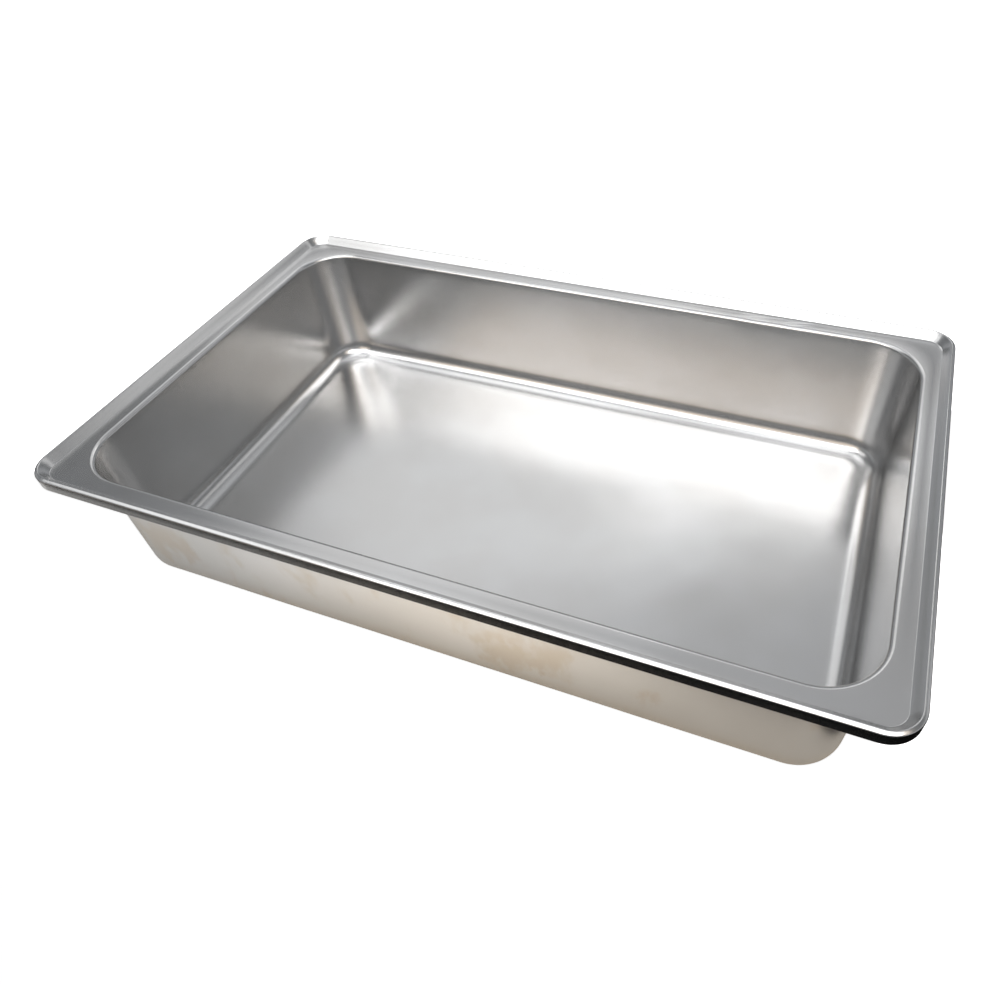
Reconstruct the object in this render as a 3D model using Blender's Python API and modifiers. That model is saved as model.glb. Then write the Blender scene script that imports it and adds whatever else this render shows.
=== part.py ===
"""A full-size food pan, 4 inches deep: one sheet of stainless steel, deep drawn.

The pan's skin is a loft of rounded rectangles that share one cross-section. It starts at the lower edge
of the rim's skirt, runs up over the bevelled bead, across the flat flange, round the lip, down the tapered
wall and round the fillet to the floor. One quarter is built, mirrored across both centre planes, and
thickened towards the underside. The origin is at the middle of the floor's underside, +Z up, the long
side along X.
"""
import math

import bmesh
import bpy
from mathutils import Matrix, Vector

# Overall size, in metres
LENGTH = 0.527              # over the rim, along X
WIDTH = 0.324               # over the rim, along Y
HEIGHT = 0.104              # from the floor's underside to the top of the bead
SHEET = 0.0008              # thickness of the steel

# Rim: a bevelled hollow bead stands above a flat flange, and its outer side hangs down as a skirt
BEAD_RISE = 0.0056          # top of the bead above the flange
BEAD_TILT = math.radians(31.0)      # the bevel that climbs inward from the skirt, from horizontal
BEAD_SLOPE = math.radians(50.0)     # the bead's inner side, from horizontal
SHOULDER_RADIUS = 0.0012    # from the skirt into the bevel
RIDGE_RADIUS = 0.0008       # from the bevel into the inner side
CREASE_RADIUS = 0.0005      # where the inner side meets the flange
CREASE_INSET = 0.0073       # the crease, in from the rim's outside
SKIRT_DROP = 0.0028         # lower edge of the skirt below the flange
FLANGE_WIDTH = 0.00854      # from the crease to the opening
LIP_RADIUS = 0.0030         # from the flange into the wall
FLANGE_Z = HEIGHT - BEAD_RISE

# Bowl
WALL_TAPER = math.radians(2.3)      # lean of the walls, from vertical
FLOOR_FILLET = 0.0145       # from the wall into the floor

# Corner radii in plan, measured on the pan's upper side
RIM_CORNER = 0.0190
CREASE_CORNER = 0.0110
OPENING_CORNER = 0.0385
BOTTOM_CORNER = 0.0290      # where the wall meets the fillet

# Facets
CORNER_STEPS = 8
SHOULDER_STEPS = 2
RIDGE_STEPS = 2
CREASE_STEPS = 2
LIP_STEPS = 4
FILLET_STEPS = 6

RIGHT_ANGLE = math.radians(90.0)


def rounded_line(corners, steps_of):
    """Round the inner corners of a line of (inset, z, radius) corners."""
    points = [Vector(corners[0][:2])]
    for before, corner, after, steps in zip(corners, corners[1:], corners[2:], steps_of):
        here = Vector(corner[:2])
        radius = corner[2]
        back = (Vector(before[:2]) - here).normalized()
        ahead = (Vector(after[:2]) - here).normalized()
        half = back.angle(ahead) / 2.0
        centre = here + (back + ahead).normalized() * (radius / math.sin(half))
        start = here + back * (radius / math.tan(half)) - centre
        end = here + ahead * (radius / math.tan(half)) - centre
        turn = start.angle_signed(end)
        for step in range(steps + 1):
            arm = start.copy()
            arm.rotate(Matrix.Rotation(-turn * step / steps, 2))
            points.append(centre + arm)
    points.append(Vector(corners[-1][:2]))
    return points


def bowl_insets():
    """Return the insets of the opening, of the lip's corner, and of the wall's corner with the floor."""
    opening = CREASE_INSET + FLANGE_WIDTH
    lip = opening + LIP_RADIUS * math.tan((RIGHT_ANGLE - WALL_TAPER) / 2.0)
    bottom = lip + (FLANGE_Z - SHEET) * math.tan(WALL_TAPER)
    return opening, lip, bottom


def cross_section():
    """Return the (inset, z) points of the pan's upper side, from the skirt's edge to the floor."""
    half_sum = (BEAD_SLOPE + BEAD_TILT) / 2.0
    half_difference = (BEAD_SLOPE - BEAD_TILT) / 2.0
    ridge_z = HEIGHT + RIDGE_RADIUS * (math.cos(half_difference) / math.cos(half_sum) - 1.0)
    ridge_inset = CREASE_INSET - (ridge_z - FLANGE_Z) / math.tan(BEAD_SLOPE)
    shoulder_z = ridge_z - ridge_inset * math.tan(BEAD_TILT)
    lip_inset, bottom_inset = bowl_insets()[1:]
    floor_inset = bottom_inset + FLOOR_FILLET * math.tan((RIGHT_ANGLE - WALL_TAPER) / 2.0)
    corners = [
        (0.0, FLANGE_Z - SKIRT_DROP, 0.0),
        (0.0, shoulder_z, SHOULDER_RADIUS),
        (ridge_inset, ridge_z, RIDGE_RADIUS),
        (CREASE_INSET, FLANGE_Z, CREASE_RADIUS),
        (lip_inset, FLANGE_Z, LIP_RADIUS),
        (bottom_inset, SHEET, FLOOR_FILLET),
        (floor_inset + 0.0005, SHEET, 0.0),
    ]
    return rounded_line(corners, (SHOULDER_STEPS, RIDGE_STEPS, CREASE_STEPS, LIP_STEPS, FILLET_STEPS))


def corner_radius(inset):
    """Return the plan radius at an inset. It changes steadily from one named radius to the next."""
    opening, lip, bottom = bowl_insets()
    plan = (
        (0.0, RIM_CORNER),
        (CREASE_INSET, CREASE_CORNER),
        (opening, OPENING_CORNER),
        (lip, OPENING_CORNER - (lip - opening)),
        (bottom, BOTTOM_CORNER),
        (bottom + BOTTOM_CORNER, 0.0),
    )
    for (inset_a, radius_a), (inset_b, radius_b) in zip(plan, plan[1:]):
        if inset <= inset_b:
            share = (inset - inset_a) / (inset_b - inset_a)
            return radius_a + (radius_b - radius_a) * share
    return 0.0


def pan_sections():
    """Return (inset from the rim's outside, z, corner radius) for each section of the loft."""
    return [(point.x, point.y, corner_radius(point.x)) for point in cross_section()]


def quarter_outline(inset, z, radius):
    """Return a quarter of a rounded rectangle, from the X axis round the corner to the Y axis."""
    half_x = LENGTH / 2.0 - inset
    half_y = WIDTH / 2.0 - inset
    points = [(half_x, 0.0, z)]
    for step in range(CORNER_STEPS + 1):
        angle = RIGHT_ANGLE * step / CORNER_STEPS
        x = half_x - radius + radius * math.cos(angle)
        y = half_y - radius + radius * math.sin(angle)
        points.append((x, y, z))
    points.append((0.0, half_y, z))
    return points


def quarter_skin():
    """Return a mesh of the pan's upper side in the quarter where X and Y are positive."""
    skin = bmesh.new()
    outlines = []
    for inset, z, radius in pan_sections():
        outlines.append([skin.verts.new(point) for point in quarter_outline(inset, z, radius)])
    for outer, inner in zip(outlines, outlines[1:]):
        for step in range(len(outer) - 1):
            skin.faces.new((outer[step], outer[step + 1], inner[step + 1], inner[step]))
    floor_centre = skin.verts.new((0.0, 0.0, SHEET))
    skin.faces.new([floor_centre] + outlines[-1])

    mesh = bpy.data.meshes.new("pan")
    skin.to_mesh(mesh)
    skin.free()
    return mesh


def stainless_steel():
    """Return the pan's material: satin stainless steel."""
    material = bpy.data.materials.new("stainless_steel")
    material.use_nodes = True
    surface = material.node_tree.nodes["Principled BSDF"]
    surface.inputs["Base Color"].default_value = (0.62, 0.61, 0.59, 1.0)
    surface.inputs["Metallic"].default_value = 1.0
    surface.inputs["Roughness"].default_value = 0.28
    return material


def build_pan(collection):
    """Add the pan: the quarter skin, mirrored in X and Y, with the sheet's thickness."""
    mesh = quarter_skin()
    mesh.materials.append(stainless_steel())
    pan = bpy.data.objects.new("pan", mesh)
    collection.objects.link(pan)

    mirror = pan.modifiers.new("four_quarters", 'MIRROR')
    mirror.use_axis = (True, True, False)
    mirror.merge_threshold = 0.00001

    thickness = pan.modifiers.new("sheet", 'SOLIDIFY')
    thickness.thickness = SHEET
    thickness.offset = -1.0
    thickness.use_even_offset = True

    mesh.shade_smooth()
    mesh.set_sharp_from_angle(angle=math.radians(40.0))
    return pan


def main():
    for old in list(bpy.data.objects):
        bpy.data.objects.remove(old)
    collection = bpy.data.collections.new("food_pan")
    bpy.context.scene.collection.children.link(collection)
    build_pan(collection)


main()
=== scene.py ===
"""Looks of the full-size food pan: one sheet of satin stainless steel, in a white studio.

The visual pan is built from the same cross-section as the CAD, in finer steps, and takes its length, width
and height from the CAD pan in model.glb. The origin is at the middle of the floor's underside, +Z up, and
the long side is along X.
"""
import math

import bmesh
import bpy
from mathutils import Matrix, Vector, noise


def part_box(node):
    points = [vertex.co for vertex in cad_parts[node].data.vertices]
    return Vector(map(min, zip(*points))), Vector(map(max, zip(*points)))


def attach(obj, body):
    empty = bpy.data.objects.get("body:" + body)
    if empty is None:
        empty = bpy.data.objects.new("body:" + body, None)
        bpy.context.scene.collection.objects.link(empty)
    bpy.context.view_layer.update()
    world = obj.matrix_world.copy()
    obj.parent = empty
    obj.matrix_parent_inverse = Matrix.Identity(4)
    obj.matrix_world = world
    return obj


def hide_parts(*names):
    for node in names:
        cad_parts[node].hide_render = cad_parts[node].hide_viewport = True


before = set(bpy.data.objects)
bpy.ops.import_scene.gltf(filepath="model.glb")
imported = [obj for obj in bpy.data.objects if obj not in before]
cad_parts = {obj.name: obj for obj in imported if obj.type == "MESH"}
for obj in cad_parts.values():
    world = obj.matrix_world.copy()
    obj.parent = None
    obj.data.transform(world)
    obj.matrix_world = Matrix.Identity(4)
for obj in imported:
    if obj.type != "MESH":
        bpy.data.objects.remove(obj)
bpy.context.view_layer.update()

# ---------------------------------------------------------------- sizes, in metres
low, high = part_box("pan")
LENGTH = high.x - low.x
WIDTH = high.y - low.y
HEIGHT = high.z - low.z
SHEET = 0.0008

# Rim: a bevelled hollow bead stands above a flat flange, and its outer side hangs down as a skirt
BEAD_RISE = 0.0056
BEAD_TILT = math.radians(31.0)
BEAD_SLOPE = math.radians(50.0)
SHOULDER_RADIUS = 0.0012
RIDGE_RADIUS = 0.0008
CREASE_RADIUS = 0.0005
CREASE_INSET = 0.0073
SKIRT_DROP = 0.0028
FLANGE_WIDTH = 0.00854
LIP_RADIUS = 0.0030
FLANGE_Z = HEIGHT - BEAD_RISE

# Bowl
WALL_TAPER = math.radians(2.3)
FLOOR_FILLET = 0.0145

# Corner radii in plan
RIM_CORNER = 0.0190
CREASE_CORNER = 0.0110
OPENING_CORNER = 0.0385
BOTTOM_CORNER = 0.0290

# Mesh
CORNER_STEPS = 20
LONG_STEPS = 60
SHORT_STEPS = 36
SECTION_STEPS = (6, 6, 5, 10, 16)
SECTION_SPACING = 0.005
FLOOR_RINGS = 22
CUT_EDGE = 0.0002            # a ring this close to the skirt's cut edge keeps the skirt's shading flat
FLOOR_START = 0.001          # flat floor between the fillet and the first floor ring
MERGE = 0.00001

# How far the drawn sheet strays from flat. The folded rim is stiffer, so it strays less
WAVE = 0.00022
WAVE_SCALE = 11.0
WAVE_SHIFT = Vector((3.1, 0.0, 0.0))
RIPPLE = 0.00005
RIPPLE_SCALE = 42.0
RIPPLE_SHIFT = Vector((0.0, 7.3, 0.0))
RIM_SHARE = 0.15             # of the waves that the rim keeps
RIM_FADE_TOP = FLANGE_Z + 0.001      # the waves grow from here down
RIM_FADE = 0.010             # and are whole this much lower

# Small knocks: place, reach and depth
DENTS = (
    ((0.128, 0.1460, FLANGE_Z), 0.0060, 0.0006),
    ((0.152, 0.1455, FLANGE_Z), 0.0045, 0.0005),
    ((0.060, 0.0300, SHEET), 0.0090, 0.0002),
    ((-0.020, -0.0450, SHEET), 0.0070, 0.0002),
)

RIGHT_ANGLE = math.radians(90.0)


def rounded_line(corners, steps_of):
    """Round the inner corners of a line of (inset, z, radius) corners."""
    points = [Vector(corners[0][:2])]
    for before, corner, after, steps in zip(corners, corners[1:], corners[2:], steps_of):
        here = Vector(corner[:2])
        radius = corner[2]
        back = (Vector(before[:2]) - here).normalized()
        ahead = (Vector(after[:2]) - here).normalized()
        half = back.angle(ahead) / 2.0
        centre = here + (back + ahead).normalized() * (radius / math.sin(half))
        start = here + back * (radius / math.tan(half)) - centre
        end = here + ahead * (radius / math.tan(half)) - centre
        turn = start.angle_signed(end)
        for step in range(steps + 1):
            arm = start.copy()
            arm.rotate(Matrix.Rotation(-turn * step / steps, 2))
            points.append(centre + arm)
    points.append(Vector(corners[-1][:2]))
    return points


def bowl_insets():
    """Insets of the opening, of the lip's corner, and of the wall's corner with the floor."""
    opening = CREASE_INSET + FLANGE_WIDTH
    lip = opening + LIP_RADIUS * math.tan((RIGHT_ANGLE - WALL_TAPER) / 2.0)
    bottom = lip + (FLANGE_Z - SHEET) * math.tan(WALL_TAPER)
    return opening, lip, bottom


def cross_section():
    """(inset, z) points of the pan's upper side, from the skirt's edge to the floor, closely spaced."""
    half_sum = (BEAD_SLOPE + BEAD_TILT) / 2.0
    half_difference = (BEAD_SLOPE - BEAD_TILT) / 2.0
    ridge_z = HEIGHT + RIDGE_RADIUS * (math.cos(half_difference) / math.cos(half_sum) - 1.0)
    ridge_inset = CREASE_INSET - (ridge_z - FLANGE_Z) / math.tan(BEAD_SLOPE)
    shoulder_z = ridge_z - ridge_inset * math.tan(BEAD_TILT)
    lip_inset, bottom_inset = bowl_insets()[1:]
    floor_inset = bottom_inset + FLOOR_FILLET * math.tan((RIGHT_ANGLE - WALL_TAPER) / 2.0)
    line = rounded_line([
        (0.0, FLANGE_Z - SKIRT_DROP, 0.0),
        (0.0, shoulder_z, SHOULDER_RADIUS),
        (ridge_inset, ridge_z, RIDGE_RADIUS),
        (CREASE_INSET, FLANGE_Z, CREASE_RADIUS),
        (lip_inset, FLANGE_Z, LIP_RADIUS),
        (bottom_inset, SHEET, FLOOR_FILLET),
        (floor_inset + FLOOR_START, SHEET, 0.0),
    ], SECTION_STEPS)
    fine = [line[0], line[0] + Vector((0.0, CUT_EDGE))]
    for start, end in zip([fine[1]] + line[1:], line[1:]):
        pieces = max(1, math.ceil((end - start).length / SECTION_SPACING))
        fine += [start.lerp(end, step / pieces) for step in range(1, pieces + 1)]
    return fine


def corner_radius(inset):
    """Plan radius at an inset. It changes steadily from one named radius to the next."""
    opening, lip, bottom = bowl_insets()
    plan = (
        (0.0, RIM_CORNER),
        (CREASE_INSET, CREASE_CORNER),
        (opening, OPENING_CORNER),
        (lip, OPENING_CORNER - (lip - opening)),
        (bottom, BOTTOM_CORNER),
        (bottom + BOTTOM_CORNER, 0.0),
    )
    for (inset_a, radius_a), (inset_b, radius_b) in zip(plan, plan[1:]):
        if inset <= inset_b:
            share = (inset - inset_a) / (inset_b - inset_a)
            return radius_a + (radius_b - radius_a) * share
    return 0.0


def pan_sections():
    """(inset, z, plan radius) of each ring, from the skirt's edge to the floor's middle line."""
    sections = [(point.x, point.y, corner_radius(point.x)) for point in cross_section()]
    inset, z, radius = sections[-1]
    remaining = WIDTH / 2.0 - inset
    for ring in range(1, FLOOR_RINGS + 1):
        share = ring / FLOOR_RINGS
        sections.append((inset + remaining * share, z, radius * (1.0 - share)))
    return sections


def outline(inset, z, radius):
    """A rounded rectangle, counter-clockwise, with the same number of points at every inset."""
    centre_x = LENGTH / 2.0 - inset - radius
    centre_y = WIDTH / 2.0 - inset - radius
    points = []
    for corner, (side_x, side_y) in enumerate(((1, 1), (-1, 1), (-1, -1), (1, -1))):
        arc = []
        for step in range(CORNER_STEPS + 1):
            angle = RIGHT_ANGLE * (corner + step / CORNER_STEPS)
            x = side_x * centre_x + radius * math.cos(angle)
            y = side_y * centre_y + radius * math.sin(angle)
            arc.append(Vector((x, y, z)))
        if points:
            points += straight(points[-1], arc[0], LONG_STEPS if corner in (1, 3) else SHORT_STEPS)
        points += arc
    points += straight(points[-1], points[0], SHORT_STEPS)
    return points


def straight(start, end, steps):
    """The points between two ends, without the ends."""
    return [start.lerp(end, step / steps) for step in range(1, steps)]


def pan_mesh():
    """The pan's upper side: rings joined into one sheet that is slightly wavy, as drawn steel is."""
    skin = bmesh.new()
    rings = [[skin.verts.new(point) for point in outline(*section)] for section in pan_sections()]
    count = len(rings[0])
    for outer, inner in zip(rings, rings[1:]):
        for here in range(count):
            ahead = (here + 1) % count
            skin.faces.new((outer[here], outer[ahead], inner[ahead], inner[here]))
    bmesh.ops.remove_doubles(skin, verts=skin.verts, dist=MERGE)
    skin.normal_update()
    for vertex in skin.verts:
        below_rim = min(1.0, max(0.0, (RIM_FADE_TOP - vertex.co.z) / RIM_FADE))
        wave = noise.noise(vertex.co * WAVE_SCALE + WAVE_SHIFT) * WAVE
        ripple = noise.noise(vertex.co * RIPPLE_SCALE + RIPPLE_SHIFT) * RIPPLE
        dent = sum(depth * math.exp(-((vertex.co - Vector(place)).length / reach) ** 2)
                   for place, reach, depth in DENTS)
        strays = (wave + ripple) * (RIM_SHARE + (1.0 - RIM_SHARE) * below_rim)
        vertex.co += vertex.normal * (strays - dent)
    mesh = bpy.data.meshes.new("pan_steel")
    skin.to_mesh(mesh)
    skin.free()
    mesh.shade_smooth()
    return mesh


# ---------------------------------------------------------------- steel
class Graph:
    """Short forms for the nodes of a material."""

    def __init__(self, material):
        self.nodes = material.node_tree.nodes
        self.links = material.node_tree.links

    def plug(self, value, socket):
        """Set a socket to a number or a tuple, or link an output to it."""
        if isinstance(value, (int, float, tuple)):
            socket.default_value = value
        else:
            self.links.new(value, socket)

    def object_axes(self):
        """The place in the object's own axes, whole and as x, y and z."""
        place = self.nodes.new("ShaderNodeTexCoord").outputs["Object"]
        split = self.nodes.new("ShaderNodeSeparateXYZ")
        self.links.new(place, split.inputs[0])
        return place, split.outputs

    def math(self, operation, a, b=0.0):
        node = self.nodes.new("ShaderNodeMath")
        node.operation = operation
        self.plug(a, node.inputs[0])
        self.plug(b, node.inputs[1])
        return node.outputs[0]

    def ramp(self, value, low, high, to_low=0.0, to_high=1.0):
        """Map low..high to to_low..to_high with soft ends."""
        node = self.nodes.new("ShaderNodeMapRange")
        node.interpolation_type = 'SMOOTHSTEP'
        self.plug(value, node.inputs["Value"])
        self.plug(low, node.inputs["From Min"])
        self.plug(high, node.inputs["From Max"])
        self.plug(to_low, node.inputs["To Min"])
        self.plug(to_high, node.inputs["To Max"])
        return node.outputs["Result"]

    def stretched(self, place, scale, shift=(0.0, 0.0, 0.0)):
        node = self.nodes.new("ShaderNodeMapping")
        node.inputs["Scale"].default_value = scale
        node.inputs["Location"].default_value = shift
        self.links.new(place, node.inputs["Vector"])
        return node.outputs[0]

    def noise(self, place, scale, detail=2.0, rough=0.5):
        node = self.nodes.new("ShaderNodeTexNoise")
        node.inputs["Scale"].default_value = scale
        node.inputs["Detail"].default_value = detail
        node.inputs["Roughness"].default_value = rough
        self.links.new(place, node.inputs["Vector"])
        return node.outputs["Fac"]

    def mix(self, share, a, b):
        node = self.nodes.new("ShaderNodeMix")
        node.data_type = 'RGBA'
        self.plug(share, node.inputs["Factor"])
        self.plug(a, node.inputs[6])
        self.plug(b, node.inputs[7])
        return node.outputs[2]

    def vector(self, share, a, b):
        node = self.nodes.new("ShaderNodeMix")
        node.data_type = 'VECTOR'
        self.plug(share, node.inputs["Factor"])
        self.plug(a, node.inputs[4])
        self.plug(b, node.inputs[5])
        return node.outputs[1]

    def bump(self, height, distance, strength):
        node = self.nodes.new("ShaderNodeBump")
        node.inputs["Strength"].default_value = strength
        node.inputs["Distance"].default_value = distance
        self.links.new(height, node.inputs["Height"])
        return node.outputs[0]


STEEL = (0.620, 0.620, 0.620, 1.0)
STEEL_DULL = (0.590, 0.586, 0.580, 1.0)
# brown of the tea stains, and of the painted shade round the foot
STAIN_AND_FOOT_SHADE_BROWN = (0.52, 0.45, 0.36, 1.0)

# Noise scales, per metre. Grain and streaks are long along X on the flat, and along Z on the walls
GRAIN_ALONG = 14.0
GRAIN_ACROSS = 300.0
STREAK_ALONG = 4.0
STREAK_ACROSS = 60.0
CLOUD_SCALE = 13.0
SPOT_SCALE = 20.0
STAIN_SCALE = 26.0
PEEL_SCALE = 170.0
PEEL_DEPTH = 0.00002
PEEL_STRENGTH = 0.035

# Roughness, and how much each cause adds
ROUGHNESS = 0.245
CLOUD_ROUGHNESS = 0.030
STREAK_ROUGHNESS = 0.010
GRAIN_ROUGHNESS = 0.010
SPOT_ROUGHNESS = 0.008
STAIN_AND_FOOT_ROUGHNESS = 0.006
POLISH_ROUGHNESS = -0.010

# How strongly a mark colours the steel
SPOT_TINT = 0.35
# this tint paints the tea stains and also the painted shade round the foot
STAIN_AND_FOOT_SHADE_TINT = 0.62

# Heights between which a mark comes or goes, in metres
STAIN_FADE = (0.045, 0.085)
# The foot's band is painted shade: brown darkening low on the outside, where the steel reflects the shadowed
# table
FOOT_FADE = (0.003, 0.028)
POLISH_FADE = (HEIGHT - 0.0022, HEIGHT - 0.0006)

# Noise values between which a mark comes in
BRIGHT_CLOUDS = (0.35, 0.68)
SPOTTED_CLOUDS = (0.50, 0.60)
SPOT_EDGE = (0.03, 0.10)
STAIN_EDGE = (0.50, 0.64)
FOOT_EDGE = (0.20, 0.60)
FOOT_LEAST = 0.5             # the painted shade at the foot is never weaker than this

# The normal's Z between which a face turns from standing to flat
FLAT = (0.45, 0.80)

# The normal times the place, in metres, between which a face turns from inside to outside
OUTSIDE = (0.02, 0.08)


def steel_grain(g, place, flatness, along, across):
    """Noise drawn out along X where the sheet lies flat, and along Z where it stands."""
    upright = g.stretched(place, (across, across, along))
    flat = g.stretched(place, (along, across, across))
    return g.noise(g.vector(flatness, upright, flat), 1.0, 1.0, 0.5)


def dull_spots(g, place, clouds):
    """Small dull spots left by drops, in some of the clouds only."""
    cells = g.nodes.new("ShaderNodeTexVoronoi")
    cells.inputs["Scale"].default_value = SPOT_SCALE
    g.links.new(g.stretched(place, (1.0, 1.3, 1.0), (0.4, 0.1, 0.0)), cells.inputs["Vector"])
    near_middle = g.ramp(cells.outputs["Distance"], *SPOT_EDGE, 1.0, 0.0)
    return g.math('MULTIPLY', near_middle, g.ramp(clouds, *SPOTTED_CLOUDS))


def tea_stains_and_foot_shade(g, place, axes, facing):
    """Tea-coloured stains low on the outside, where the pan meets hot water, and painted shade all round its
    foot: a brown darkening that stands in for the shadowed table reflected there.
    """
    x, y, z = axes
    patches = g.noise(g.stretched(place, (1.0, 1.0, 0.55), (0.23, 0.0, 0.1)), STAIN_SCALE, 5.0, 0.62)
    stain = g.math('MULTIPLY', g.ramp(patches, *STAIN_EDGE), g.ramp(z, *STAIN_FADE, 1.0, 0.0))
    # painted shade: a brown darkening all round the foot on the outside
    foot_patches = g.ramp(patches, *FOOT_EDGE, FOOT_LEAST, 1.0)
    foot = g.math('MULTIPLY', g.ramp(z, *FOOT_FADE, 1.0, 0.0), foot_patches)
    leans_out = g.math('ADD', g.math('MULTIPLY', facing["X"], x), g.math('MULTIPLY', facing["Y"], y))
    return g.math('MULTIPLY', g.math('MAXIMUM', stain, foot), g.ramp(leans_out, *OUTSIDE))


def steel():
    """Satin stainless steel: rolling grain, draw lines on the walls, cloudy wear, faint tea stains, and
    painted shade darkening the outside of the foot.
    """
    material = bpy.data.materials.new("satin_stainless")
    material.use_nodes = True
    g = Graph(material)
    surface = g.nodes["Principled BSDF"]
    place, axes = g.object_axes()
    normal_split = g.nodes.new("ShaderNodeSeparateXYZ")
    g.links.new(g.nodes.new("ShaderNodeNewGeometry").outputs["True Normal"], normal_split.inputs[0])
    facing = normal_split.outputs
    flatness = g.ramp(g.math('ABSOLUTE', facing["Z"]), *FLAT)

    grain = steel_grain(g, place, flatness, GRAIN_ALONG, GRAIN_ACROSS)
    streaks = steel_grain(g, place, flatness, STREAK_ALONG, STREAK_ACROSS)
    clouds = g.noise(place, CLOUD_SCALE, 3.0, 0.5)
    spot = dull_spots(g, place, clouds)
    # stain holds the tea stains together with the painted shade at the foot
    stain = tea_stains_and_foot_shade(g, place, axes, facing)
    polish = g.ramp(axes["Z"], *POLISH_FADE)    # rubbed smoother along the top of the bead

    colour = g.mix(g.ramp(clouds, *BRIGHT_CLOUDS), STEEL_DULL, STEEL)
    colour = g.mix(g.math('MULTIPLY', spot, SPOT_TINT), colour, STEEL_DULL)
    # this brown paints both the tea stains and the painted shade round the foot
    colour = g.mix(g.math('MULTIPLY', stain, STAIN_AND_FOOT_SHADE_TINT), colour, STAIN_AND_FOOT_SHADE_BROWN)
    g.links.new(colour, surface.inputs["Base Color"])

    roughness = ROUGHNESS
    for middling_noise, amount in (
        (clouds, CLOUD_ROUGHNESS),
        (streaks, STREAK_ROUGHNESS),
        (grain, GRAIN_ROUGHNESS),
    ):
        around_zero = g.math('SUBTRACT', middling_noise, 0.5)
        roughness = g.math('ADD', roughness, g.math('MULTIPLY', around_zero, amount))
    for mark, amount in ((spot, SPOT_ROUGHNESS), (stain, STAIN_AND_FOOT_ROUGHNESS), (polish, POLISH_ROUGHNESS)):
        roughness = g.math('ADD', roughness, g.math('MULTIPLY', mark, amount))
    g.links.new(roughness, surface.inputs["Roughness"])

    peel = g.noise(place, PEEL_SCALE, 1.0, 0.4)
    g.links.new(g.bump(peel, PEEL_DEPTH, PEEL_STRENGTH), surface.inputs["Normal"])
    surface.inputs["Metallic"].default_value = 1.0
    return material


pan = bpy.data.objects.new("food_pan", pan_mesh())
bpy.context.scene.collection.objects.link(pan)
pan.data.materials.append(steel())
sheet = pan.modifiers.new("sheet", 'SOLIDIFY')
sheet.thickness = SHEET
sheet.offset = -1.0
sheet.use_even_offset = True
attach(pan, "root")
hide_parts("pan")


# ---------------------------------------------------------------- stage
MATT = 0.9


def matt(name, colour, glow):
    """A matt surface that also glows."""
    material = bpy.data.materials.new(name)
    material.use_nodes = True
    surface = material.node_tree.nodes["Principled BSDF"]
    surface.inputs["Base Color"].default_value = colour
    surface.inputs["Roughness"].default_value = MATT
    surface.inputs["Emission Color"].default_value = colour
    surface.inputs["Emission Strength"].default_value = glow
    return material


def stage_mesh(name, corners, faces, material):
    """A plain mesh that belongs to the stage, not to the pan."""
    mesh = bpy.data.meshes.new(name)
    mesh.from_pydata(corners, [], faces)
    mesh.materials.append(material)
    made = bpy.data.objects.new(name, mesh)
    bpy.context.scene.collection.objects.link(made)
    return made


# The white studio is for the camera only. The steel sees the world, the lamps, the paper and the table.
WHITE = (1.0, 1.0, 1.0, 1.0)
ROOM = 6.0
ROOM_FLOOR = -0.0012
SQUARE = ((-1, -1), (1, -1), (1, 1), (-1, 1))
room_corners = [(x * ROOM, y * ROOM, z * ROOM + ROOM_FLOOR) for z in (0, 1) for x, y in SQUARE]
room_faces = [(0, 1, 2, 3)] + [(k, (k + 1) % 4, (k + 1) % 4 + 4, k + 4) for k in range(4)]
room = stage_mesh("studio_floor_and_walls", room_corners, room_faces, matt("white_studio", WHITE, 1.0))
room.visible_glossy = False
room.data.materials[0].cycles.emission_sampling = 'NONE'
room.visible_diffuse = False
room.visible_shadow = False

# A sheet of paper under the pan, not quite square to it. It is plain on the left and warmer on the right
PAPER_PLAIN = (0.515, 0.509, 0.496, 1.0)
PAPER_WARM = (0.590, 0.540, 0.472, 1.0)
PAPER_Z = -0.0005
PAPER_PLAN = ((-0.42, -0.226), (0.25, -0.180), (0.31, 0.215), (-0.36, 0.225))
PAPER_WARMS = (-0.22, 0.02)          # X between which plain turns into warm
PAPER_GLOW = (0.35, 1.55)            # the least and the most
PAPER_BRIGHTENS = (-0.34, -0.02)     # X between which the glow grows
PAPER_DARKENS = (0.02, 0.21)         # X between which it goes again
PAPER_SHADE = (-0.190, -0.140)       # Y between which the pan takes the light away


def paper():
    """Paper that is brightest in front of the pan's middle, and shaded close to the pan's foot."""
    material = matt("paper", PAPER_WARM, 0.0)
    g = Graph(material)
    surface = g.nodes["Principled BSDF"]
    axes = g.object_axes()[1]
    growing = g.ramp(axes["X"], *PAPER_BRIGHTENS, *PAPER_GLOW)
    glow = g.math('MULTIPLY', growing, g.ramp(axes["X"], *PAPER_DARKENS, 1.0, 0.0))
    glow = g.math('MULTIPLY', glow, g.ramp(axes["Y"], *PAPER_SHADE, 1.0, 0.0))
    colour = g.mix(g.ramp(axes["X"], *PAPER_WARMS), PAPER_PLAIN, PAPER_WARM)
    g.links.new(colour, surface.inputs["Base Color"])
    g.links.new(colour, surface.inputs["Emission Color"])
    g.links.new(glow, surface.inputs["Emission Strength"])
    return material


paper_corners = [(x, y, PAPER_Z) for x, y in PAPER_PLAN]
table_paper = stage_mesh("table_paper", paper_corners, [(0, 1, 2, 3)], paper())
table_paper.visible_camera = False

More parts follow.
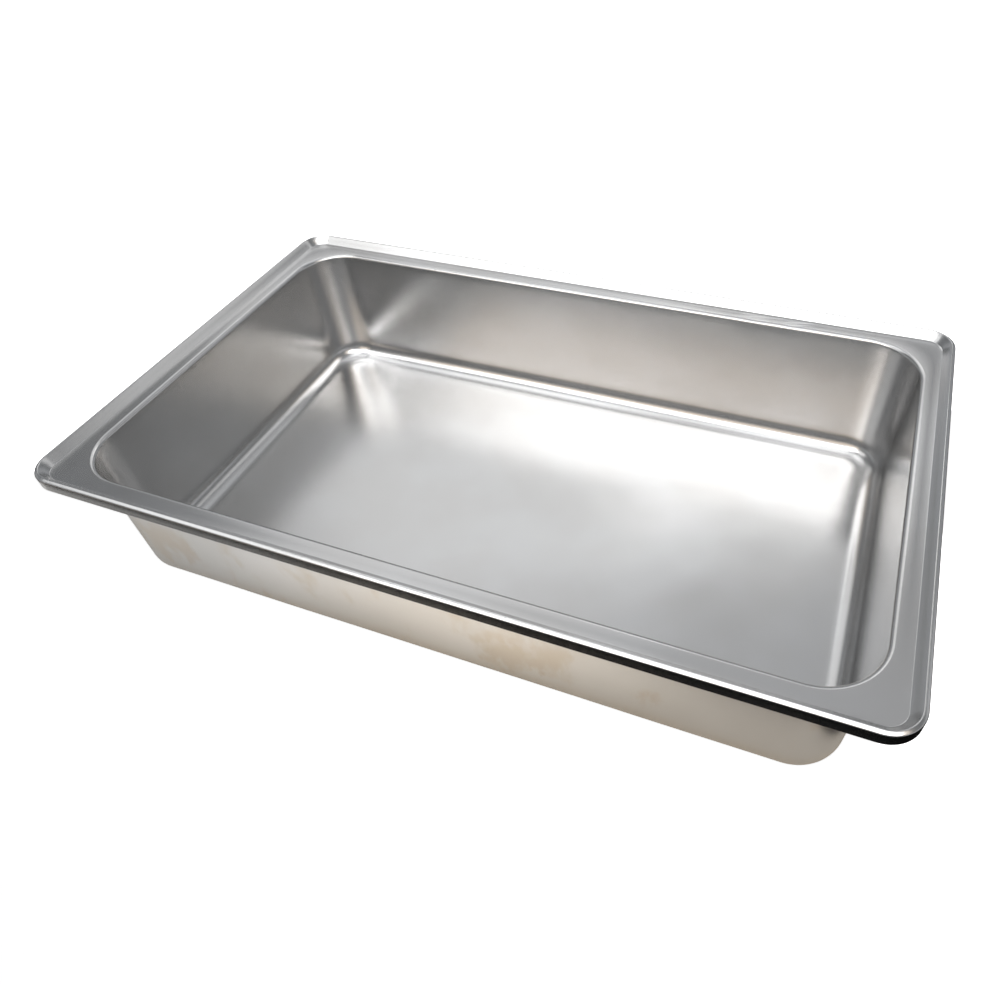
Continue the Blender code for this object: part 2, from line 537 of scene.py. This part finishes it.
# The lit part of the table, to the left in front of the pan
TABLE = (0.25, 0.21, 0.175, 1.0)
TABLE_Z = -0.001
TABLE_PLAN = ((-3.0, -3.0), (0.0, -3.0), (-0.12, -0.34), (-3.0, -0.34))
table_corners = [(x, y, TABLE_Z) for x, y in TABLE_PLAN]
table = stage_mesh("lit_table", table_corners, [(0, 1, 2, 3)], matt("table", TABLE, 0.0))
table.visible_camera = False

# ---------------------------------------------------------------- light
# The sky's grey against the sine of the elevation: light straight overhead and straight below, black under
# the horizon, and a light band above it
SKY_FOOT = (0.40, 0.40, 0.40, 1.0)
SKY_TOP = (0.85, 0.85, 0.87, 1.0)
SKY_RED = 0.97
SKY_BLUE = 1.04
SKY_GREYS = (
    (-0.96, 0.12),
    (-0.90, 0.0),
    (0.0, 0.0),
    (0.02, 0.42),
    (0.27, 0.42),
    (0.40, 0.20),
    (0.84, 0.25),
    (0.93, 0.70),
)


def sky(world):
    """Shade the world by the height of the direction, slightly cool."""
    world.use_nodes = True
    nodes = world.node_tree.nodes
    links = world.node_tree.links
    direction = nodes.new("ShaderNodeTexCoord")
    split = nodes.new("ShaderNodeSeparateXYZ")
    height = nodes.new("ShaderNodeMapRange")
    height.inputs["From Min"].default_value = -1.0
    ramp = nodes.new("ShaderNodeValToRGB")
    links.new(direction.outputs["Generated"], split.inputs[0])
    links.new(split.outputs["Z"], height.inputs["Value"])
    links.new(height.outputs["Result"], ramp.inputs["Fac"])
    links.new(ramp.outputs["Color"], nodes["Background"].inputs["Color"])
    stops = ramp.color_ramp.elements
    stops[0].position = 0.0
    stops[0].color = SKY_FOOT
    stops[1].position = 1.0
    stops[1].color = SKY_TOP
    for sine, grey in SKY_GREYS:
        stops.new((sine + 1.0) / 2.0).color = (SKY_RED * grey, grey, SKY_BLUE * grey, 1.0)


bpy.context.scene.world = bpy.data.worlds.new("studio")
sky(bpy.context.scene.world)

LAMP_DISTANCE = 4.0


def softbox(name, heading, elevation, size, radiance, tint=(1.0, 1.0, 1.0)):
    """A rectangular lamp that faces the pan. Heading 0 is over +Y, and 90 is over +X."""
    turn = math.radians(heading)
    lift = math.radians(elevation)
    aim = Vector((math.sin(turn) * math.cos(lift), math.cos(turn) * math.cos(lift), math.sin(lift)))
    light = bpy.data.lights.new(name, 'AREA')
    light.shape = 'RECTANGLE'
    light.size, light.size_y = size
    light.energy = radiance * math.pi * size[0] * size[1]
    light.color = tint
    lamp = bpy.data.objects.new(name, light)
    lamp.location = aim * LAMP_DISTANCE
    lamp.rotation_mode = 'QUATERNION'
    lamp.rotation_quaternion = (-aim).to_track_quat('-Z', 'Y')
    bpy.context.scene.collection.objects.link(lamp)


# Name, heading and elevation in degrees, width and height in metres, radiance and tint
WARM = (1.0, 0.80, 0.60)
CREAM = (1.0, 0.83, 0.66)
softbox("key", 170, 53, (5.6, 1.5), 4.1)
softbox("key_skirt", 192, 31.5, (3.4, 0.84), 1.1, WARM)
softbox("overhead", 153, 78, (1.6, 1.4), 1.0)
softbox("overhead_left", 267, 68, (1.9, 1.5), 1.2)
softbox("right_front", 122, 42, (1.9, 1.7), 0.80, CREAM)
softbox("back_wash", -31, 40, (2.5, 1.7), 0.80)
softbox("back_peak", -1, 42, (1.3, 0.9), 1.30)
softbox("back_fill", -36, 56, (2.2, 0.9), 0.42)
softbox("back_right", 16, 57, (1.6, 0.9), 0.22)
softbox("left_shoulder", 238, 41, (1.3, 1.2), 1.3)
softbox("right_fill", 41, 42, (1.8, 1.0), 0.68)
softbox("right_low", 86, 11, (5.1, 1.1), 0.3)

# ---------------------------------------------------------------- camera
# The camera starts at a distance from the middle of the flange's plane, and moves right and down in its view
AZIMUTH = math.radians(24.40)
ELEVATION = math.radians(45.79)
ROLL = math.radians(-4.15)
DISTANCE = 0.5153
MOVED_RIGHT = 0.02705
MOVED_DOWN = 0.06175
LENS = 28.19
SENSOR = 36.0
SHIFT_X = -0.055

level = Vector((math.cos(AZIMUTH), math.sin(AZIMUTH), 0.0))
back_x = math.sin(AZIMUTH) * math.cos(ELEVATION)
back_y = -math.cos(AZIMUTH) * math.cos(ELEVATION)
back = Vector((back_x, back_y, math.sin(ELEVATION)))
upright = back.cross(level)
right = level * math.cos(ROLL) + upright * math.sin(ROLL)
up = upright * math.cos(ROLL) - level * math.sin(ROLL)
centre = Vector((0.0, 0.0, FLANGE_Z)) + back * DISTANCE + right * MOVED_RIGHT - up * MOVED_DOWN
camera_data = bpy.data.cameras.new("camera")
camera_data.sensor_width = SENSOR
camera_data.lens = LENS
camera_data.shift_x = SHIFT_X
camera = bpy.data.objects.new("camera", camera_data)
camera.matrix_world = Matrix.Translation(centre) @ Matrix((right, up, back)).transposed().to_4x4()
bpy.context.scene.collection.objects.link(camera)
bpy.context.scene.camera = camera
bpy.context.scene.view_settings.view_transform = 'Standard'
